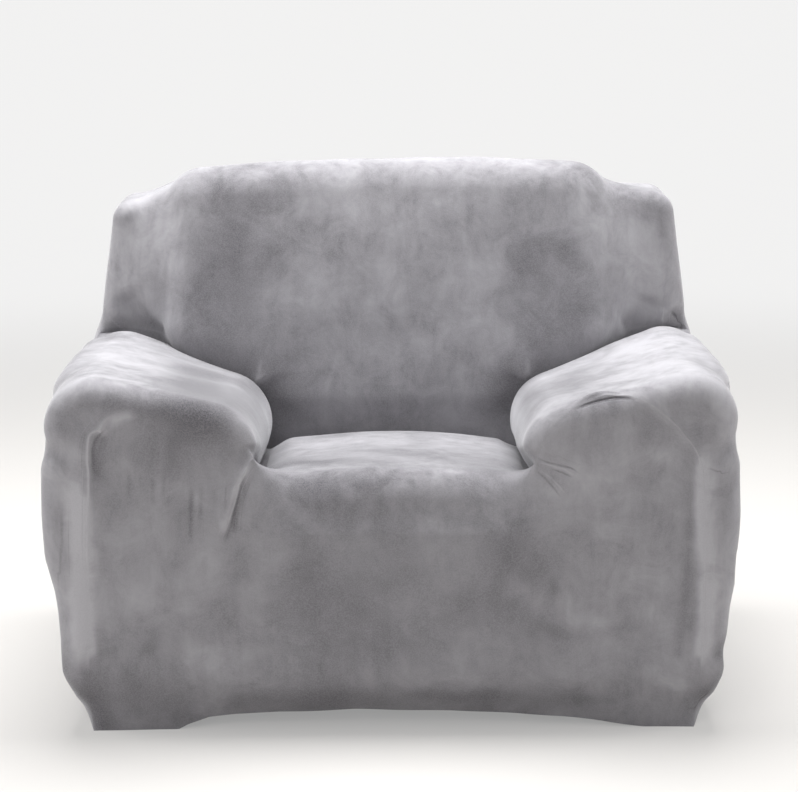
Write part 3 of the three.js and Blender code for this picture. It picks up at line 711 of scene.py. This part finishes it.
def creased(knots, points, quads):
    """Layers of fine creases that keep clear of one another: each knot's distance from its crease, in reaches
    of that crease, and the crease's rise there."""
    normals = vertex_normals(points, quads)
    layers = []
    for crease in CREASES:
        off, run = reach_of(points, normals, line_of(crease.line, knots, points, normals))
        here = np.abs(off) < 2 * crease.reach + CREASE.clear
        layer = next((layer for layer in layers if not np.any(here & layer.taken)), None)
        if layer is None:
            count = len(points)
            layer = Layer(np.full(count, CREASE.far), np.zeros(count), np.zeros(count, bool))
            layers.append(layer)
        layer.off[here] = off[here] / crease.reach
        layer.rise[here] = crease.rise * fade_in(run[here], CREASE.fade)
        layer.taken[here] = True
    return layers


# ---------------- panels
# The least cosine that a mitre is lengthened for, and the cosines between which a seam's shading goes over
# from a crisp edge to a smooth run.
MITRE = Sizes(least=0.4, crisp=0.75, smooth=0.95)


class Cover:
    """The fitted net, mitred at its seams, from which each panel is cut."""

    def __init__(self, rounds):
        self.knots, self.quads, self.panels, fitted = fit(rounds)
        self.points, self.brushing_and_painted_light = folded(self.knots, fitted, self.quads)
        self.creases = creased(self.knots, self.points, self.quads)
        self.smooth = vertex_normals(self.points, self.quads)
        self.normals = [vertex_normals(self.points, self.quads[self.panels == n]) for n in range(len(PANELS))]
        total = sum(self.normals)
        self.mitre = total / np.linalg.norm(total, axis=1)[:, None]
        present = [np.linalg.norm(normals, axis=1) > 0.5 for normals in self.normals]
        cosines = [(normals * self.mitre).sum(1) for normals in self.normals]
        least = np.min([np.where(here, cosine, 1) for here, cosine in zip(present, cosines)], 0)
        self.deeper = 1 / np.maximum(least, MITRE.least)

    def rims(self, own):
        """The edges of a panel that only one of its quads has, and the middle of that quad."""
        edges = np.concatenate([own[:, [n, (n + 1) % 4]] for n in range(4)])
        middle = np.tile(self.points[own].mean(1), (4, 1))
        count = len(self.points)
        alone = ~np.isin(edges[:, 0] * count + edges[:, 1], edges[:, 1] * count + edges[:, 0])
        return edges[alone], middle[alone]

    def panel(self, number):
        """A closed sheet: outer face, inner face and rim, drawn back from its seams by half the gap."""
        own = self.quads[self.panels == number]
        rims, middle = self.rims(own)
        along = self.points[rims[:, 1]] - self.points[rims[:, 0]]
        across = middle - self.points[rims[:, 0]]
        total = np.zeros_like(self.points)
        for end in (0, 1):
            step = np.cross(along, self.mitre[rims[:, end]])
            step /= np.linalg.norm(step, axis=1)[:, None]
            step *= np.sign((step * across).sum(1))[:, None]
            np.add.at(total, rims[:, end], step)
        # Two unit steps make up each total, so this moves both of its edges back by half the gap.
        gain = (total ** 2).sum(1) / 2
        back = total * (SEAM_GAP / 2 / np.maximum(gain, MITRE.least))[:, None]
        outer = self.points + back
        inner = outer - self.mitre * (CLOTH * self.deeper)[:, None]
        used = np.unique(own)
        facing = self.facing(number)
        place = np.zeros(len(self.points), int)
        place[used] = np.arange(len(used))
        own, rims = place[own], place[rims]
        under = len(used)
        rim = np.stack([rims[:, 1], rims[:, 0], rims[:, 0] + under, rims[:, 1] + under], 1)
        faces = np.concatenate([own, own[:, ::-1] + under, rim])
        points = np.concatenate([outer[used], inner[used]])
        edge_on = np.cross(points[rim[:, 2]] - points[rim[:, 0]], points[rim[:, 3]] - points[rim[:, 1]])
        edge_on = np.repeat(edge_on / np.linalg.norm(edge_on, axis=1)[:, None], 4, 0)
        facing = facing[used]
        shading = np.concatenate([facing[own].reshape(-1, 3), -facing[own[:, ::-1]].reshape(-1, 3), edge_on])
        return points / 1000, faces, shading, used

    def facing(self, number):
        """Which way a panel's cloth faces: across a seam that lies smooth it turns on without a break."""
        own = self.normals[number]
        alike = (own * self.smooth).sum(1)
        share = np.clip((alike - MITRE.crisp) / (MITRE.smooth - MITRE.crisp), 0, 1)[:, None]
        both = share * self.smooth + (1 - share) * own
        length = np.linalg.norm(both, axis=1)[:, None]
        return both / np.where(length > 0, length, 1)


def make_mesh(name, points, faces, shading=None):
    """An object of quads in metres, with the way each of their corners faces."""
    mesh = bpy.data.meshes.new(name)
    mesh.vertices.add(len(points))
    mesh.vertices.foreach_set("co", points.astype(np.float32).ravel())
    mesh.loops.add(faces.size)
    mesh.loops.foreach_set("vertex_index", faces.astype(np.int32).ravel())
    mesh.polygons.add(len(faces))
    mesh.polygons.foreach_set("loop_start", np.arange(0, faces.size, 4, dtype=np.int32))
    mesh.polygons.foreach_set("loop_total", np.full(len(faces), 4, np.int32))
    mesh.update(calc_edges=True)
    mesh.validate()
    mesh.shade_smooth()
    if shading is not None:
        mesh.normals_split_custom_set(shading.tolist())
    piece = bpy.data.objects.new(name, mesh)
    bpy.context.scene.collection.objects.link(piece)
    return piece


# ---------------- finishes
class Wire:
    """A number on its way through a finish; arithmetic on it adds Math nodes."""

    def __init__(self, finish, socket):
        self.finish, self.socket = finish, socket

    def _maths(self, operation, a, b):
        return self.finish.wire(self.finish.add("ShaderNodeMath", {"operation": operation}, {0: a, 1: b}))

    def __add__(self, other):
        return self._maths("ADD", self, other)

    def __radd__(self, other):
        return self._maths("ADD", other, self)

    def __sub__(self, other):
        return self._maths("SUBTRACT", self, other)

    def __mul__(self, other):
        return self._maths("MULTIPLY", self, other)

    def __abs__(self):
        return self._maths("ABSOLUTE", self, 0.0)


class Finish:
    """A material and its nodes."""

    def __init__(self, name):
        self.material = bpy.data.materials.new(name)
        self.material.use_nodes = True
        self.tree = self.material.node_tree
        self.tree.nodes.clear()

    def add(self, kind, settings=None, values=None):
        """A node with its settings, and with its sockets set or wired up."""
        node = self.tree.nodes.new(kind)
        for name, value in (settings or {}).items():
            setattr(node, name, value)
        for name, value in (values or {}).items():
            socket = node.inputs[name]
            if isinstance(value, Wire):
                value = value.socket
            if isinstance(value, bpy.types.NodeSocket):
                self.tree.links.new(value, socket)
            else:
                socket.default_value = value
        return node

    def wire(self, node, output=0):
        return Wire(self, node.outputs[output])

    def attribute(self, name):
        return self.wire(self.add("ShaderNodeAttribute", {"attribute_name": name}), "Fac")

    def noise(self, place, scale, detail=2, roughness=0.5, distortion=0.0):
        values = {"Vector": place, "Scale": scale, "Detail": detail, "Roughness": roughness}
        values["Distortion"] = distortion
        return self.wire(self.add("ShaderNodeTexNoise", {"noise_dimensions": "3D"}, values), "Fac")

    def place(self, scale=(1, 1, 1), shift=(0, 0, 0)):
        """The place on the object, scaled and then shifted."""
        object_place = self.add("ShaderNodeTexCoord").outputs["Object"]
        values = {"Vector": object_place, "Scale": scale, "Location": shift}
        return self.add("ShaderNodeMapping", None, values).outputs[0]

    def ramp(self, value, low, high, to_low=0.0, to_high=1.0):
        """A smooth step of a value from low to high."""
        values = {"Value": value, "From Min": low, "From Max": high, "To Min": to_low, "To Max": to_high}
        return self.wire(self.add("ShaderNodeMapRange", {"interpolation_type": "SMOOTHSTEP"}, values))

    def blend(self, share, a, b):
        """A colour that goes from a to b with the share."""
        node = self.add("ShaderNodeMix", {"data_type": "RGBA"}, {"Factor": share})
        for socket, value in ((node.inputs[6], a), (node.inputs[7], b)):
            if isinstance(value, bpy.types.NodeSocket):
                self.tree.links.new(value, socket)
            else:
                socket.default_value = (*value, 1)
        return node.outputs[2]

    def surface(self, shader):
        self.add("ShaderNodeOutputMaterial", None, {"Surface": shader.outputs[0]})
        return self.material


# The range of the nap's lean, and the pile's colour where it leans away and to the light, and at its tips.
NAP = Sizes(
    low=0.26, high=0.66, dark=(0.084, 0.08, 0.089), pale=(0.42, 0.412, 0.436), tips=(0.34, 0.332, 0.35),
)


def plush_finish(layers):
    """Short soft pile with brushing this way and that, with layers of fine creases, and with painted
    highlights and painted shade from its strokes, bends and creases.
    """
    plush = Finish("grey_plush")
    broad = plush.noise(plush.place(), 5, detail=3, roughness=0.5, distortion=0.4)
    patches = plush.noise(plush.place(shift=(5, 2, 1)), 16, detail=6, roughness=0.7, distortion=0.5)
    upright = plush.place(scale=(1, 1, 0.25), shift=(3, 1, 0))
    strokes = plush.noise(upright, 40, detail=3, roughness=0.55, distortion=0.3)
    pile = plush.noise(plush.place(), 520, detail=3, roughness=0.7)
    brushing_and_painted_light, bend, lying = (plush.attribute(name) for name in ("brushing_and_painted_light", "bend", "lying"))
    crease = sum(
        plush.ramp(abs(plush.attribute(f"off_{n}")), 0, 1, 1, 0) * plush.attribute(f"crease_{n}")
        for n in range(layers)
    )
    # each noise by its weight, less their mean; a stroke, of brushing and of painted light and shade, is
    # broken up by them; lying cloth shows more
    mottle = broad * 0.26 + patches * 0.25 + strokes * 0.11 - 0.31
    marks = brushing_and_painted_light * (strokes * 1.2 + patches * 1.4 - 0.3)
    # the bend and the creases paint highlights on ridges and shade in hollows and tucks into the nap
    nap = mottle * (lying * 0.8 + 0.8) + marks * 0.12 + bend * 0.16 + crease * 0.06 + 0.38
    shade = plush.blend(plush.ramp(nap, NAP.low, NAP.high), NAP.dark, NAP.pale)
    shade = plush.blend(plush.ramp(pile, 0.35, 0.65, 0.0, 0.36), shade, NAP.tips)
    height = pile * 0.6 + strokes * 0.9 + crease * 1.0
    bump = plush.add("ShaderNodeBump", None, {"Strength": 0.5, "Distance": 0.0012, "Height": height})
    shader = plush.add("ShaderNodeBsdfPrincipled", None, {
        "Base Color": shade,
        "Roughness": plush.ramp(nap, NAP.low, NAP.high, 0.97, 0.86),
        "Normal": bump.outputs[0],
        "Specular IOR Level": 0.15,
        "Sheen Weight": 0.5,
        "Sheen Roughness": 0.4,
        "Sheen Tint": (0.93, 0.93, 0.96, 1),
    })
    return plush.surface(shader)


# ---------------- the studio
# A floor that bends up into a wall, in metres, how much whiter it looks near the cover and far from it, and
# the strength of the light from all round and of what shows there.
SWEEP = Sizes(near=-9.0, wall=6.4, bend=1.2, steps=12, high=7.0, half=9.0, colour=(0.62, 0.60, 0.575))
WHITER = Sizes(starts=1.3, near=0.3, ends=5.6, far=0.82)
SKY = Sizes(light=0.38, shown=0.9)

Lamp = namedtuple("Lamp", "name at towards width height power")
LAMPS = [
    Lamp("overhead", (0.0, 0.5, 3.2), (0.0, 0.05, 0.4), 2.4, 1.8, 158),
    Lamp("front", (-1.6, -4.6, 2.4), (0.0, 0.0, 0.45), 3.0, 2.4, 66),
    Lamp("left_side", (-3.4, 0.2, 1.5), (0.0, 0.0, 0.4), 1.6, 2.0, 50),
    Lamp("right_side", (3.4, 0.2, 1.5), (0.0, 0.0, 0.4), 1.6, 2.0, 44),
]


def studio_finish(name, colour):
    """A plain matt surface that keeps its shadows, and shows whiter straight to the eye as it goes back."""
    plain = Finish(name)
    away = plain.add("ShaderNodeVectorMath", {"operation": "LENGTH"}, {"Vector": plain.place()})
    shown = plain.ramp(plain.wire(away, "Value"), WHITER.starts, WHITER.ends, WHITER.near, WHITER.far)
    matt = plain.add("ShaderNodeBsdfPrincipled", None, {"Base Color": (*colour, 1), "Roughness": 0.9})
    glow = plain.add("ShaderNodeEmission", None, {"Color": (1, 1, 1, 1), "Strength": 1.0})
    path = plain.add("ShaderNodeLightPath")
    seen = plain.wire(path, "Is Camera Ray") + plain.wire(path, "Is Glossy Ray")
    mixed = plain.add("ShaderNodeMixShader", None, {0: seen * shown, 1: matt.outputs[0], 2: glow.outputs[0]})
    return plain.surface(mixed)


def build_sweep():
    bend_starts = SWEEP.wall - SWEEP.bend
    profile = [(SWEEP.near, 0.0), (bend_starts, 0.0)]
    for step in range(1, SWEEP.steps + 1):
        turn = math.pi / 2 * step / SWEEP.steps
        profile.append((bend_starts + SWEEP.bend * math.sin(turn), SWEEP.bend * (1 - math.cos(turn))))
    profile.append((SWEEP.wall, SWEEP.high))
    points = [(side, y, z) for y, z in profile for side in (-SWEEP.half, SWEEP.half)]
    faces = [(2 * n, 2 * n + 1, 2 * n + 3, 2 * n + 2) for n in range(len(profile) - 1)]
    sweep = make_mesh("studio_sweep", np.array(points), np.array(faces))
    sweep.data.materials.append(studio_finish("pale_sweep", SWEEP.colour))


def build_sky():
    """Soft light from all round, which shows as white straight to the eye."""
    world = bpy.data.worlds.new("soft_daylight")
    bpy.context.scene.world = world
    world.use_nodes = True
    tree = world.node_tree
    light, shown = tree.nodes["Background"], tree.nodes.new("ShaderNodeBackground")
    for sky, strength in ((light, SKY.light), (shown, SKY.shown)):
        sky.inputs["Color"].default_value = (1, 1, 1, 1)
        sky.inputs["Strength"].default_value = strength
    mixed, path = tree.nodes.new("ShaderNodeMixShader"), tree.nodes.new("ShaderNodeLightPath")
    tree.links.new(path.outputs["Is Camera Ray"], mixed.inputs[0])
    tree.links.new(light.outputs[0], mixed.inputs[1])
    tree.links.new(shown.outputs[0], mixed.inputs[2])
    tree.links.new(mixed.outputs[0], tree.nodes["World Output"].inputs["Surface"])


def hang_lamps():
    for lamp in LAMPS:
        data = bpy.data.lights.new(lamp.name, "AREA")
        data.shape = "RECTANGLE"
        data.size, data.size_y, data.energy = lamp.width, lamp.height, lamp.power
        light = bpy.data.objects.new(lamp.name, data)
        light.location = lamp.at
        light.visible_camera = False
        light.rotation_euler = (Vector(lamp.towards) - Vector(lamp.at)).to_track_quat("-Z", "Y").to_euler()
        bpy.context.scene.collection.objects.link(light)


# ---------------- the pieces Rounds of drawing tight at each fineness of the net.
ROUNDS = (300, 100, 60, 40)


# How many times the cloth is evened out, how proud of that it may stand and still count as smooth, and how
# much prouder a sharp ridge stands.
BEND = Sizes(times=3, smooth=0.55, sharp=1.2)


def bend_of(points, quads):
    """From 0, in a sharp hollow, to 1, on a sharp ridge, with a half where the cloth runs smoothly."""
    table, degree = neighbours(quads, len(points))
    spare = (table.shape[1] - degree)[:, None]
    normals = vertex_normals(points, quads)
    value = points
    for _ in range(BEND.times):
        value = (value[table].sum(1) - spare * value + value) / (degree[:, None] + 1)
    proud = ((points - value) * normals).sum(1)
    sharp = np.sign(proud) * np.maximum(np.abs(proud) - BEND.smooth, 0)
    return 0.5 + 0.5 * np.tanh(sharp / BEND.sharp)


def marks_of(cover):
    """What the finish reads at each knot: its bend, its brushing and painted light and shade, how flat it
    lies, and its fine creases.
    """
    marks = {
        "bend": bend_of(cover.points, cover.quads),
        "brushing_and_painted_light": cover.brushing_and_painted_light,
        "lying": np.maximum(cover.smooth[:, 2], 0),
    }
    for n, layer in enumerate(cover.creases):
        marks[f"off_{n}"], marks[f"crease_{n}"] = layer.off, layer.rise
    return marks


def main():
    place_camera()
    build_sweep()
    build_sky()
    hang_lamps()
    cover = Cover(ROUNDS)
    marks = marks_of(cover)
    plush = plush_finish(len(cover.creases))
    for number, node in enumerate(PANELS):
        points, faces, shading, used = cover.panel(number)
        piece = make_mesh(node + "_plush", points, faces, shading)
        for name, values in marks.items():
            mark = piece.data.attributes.new(name, "FLOAT", "POINT")
            mark.data.foreach_set("value", np.tile(values[used], 2).astype(np.float32))
        piece.data.materials.append(plush)
        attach(piece, "root")
        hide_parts(node)


main()
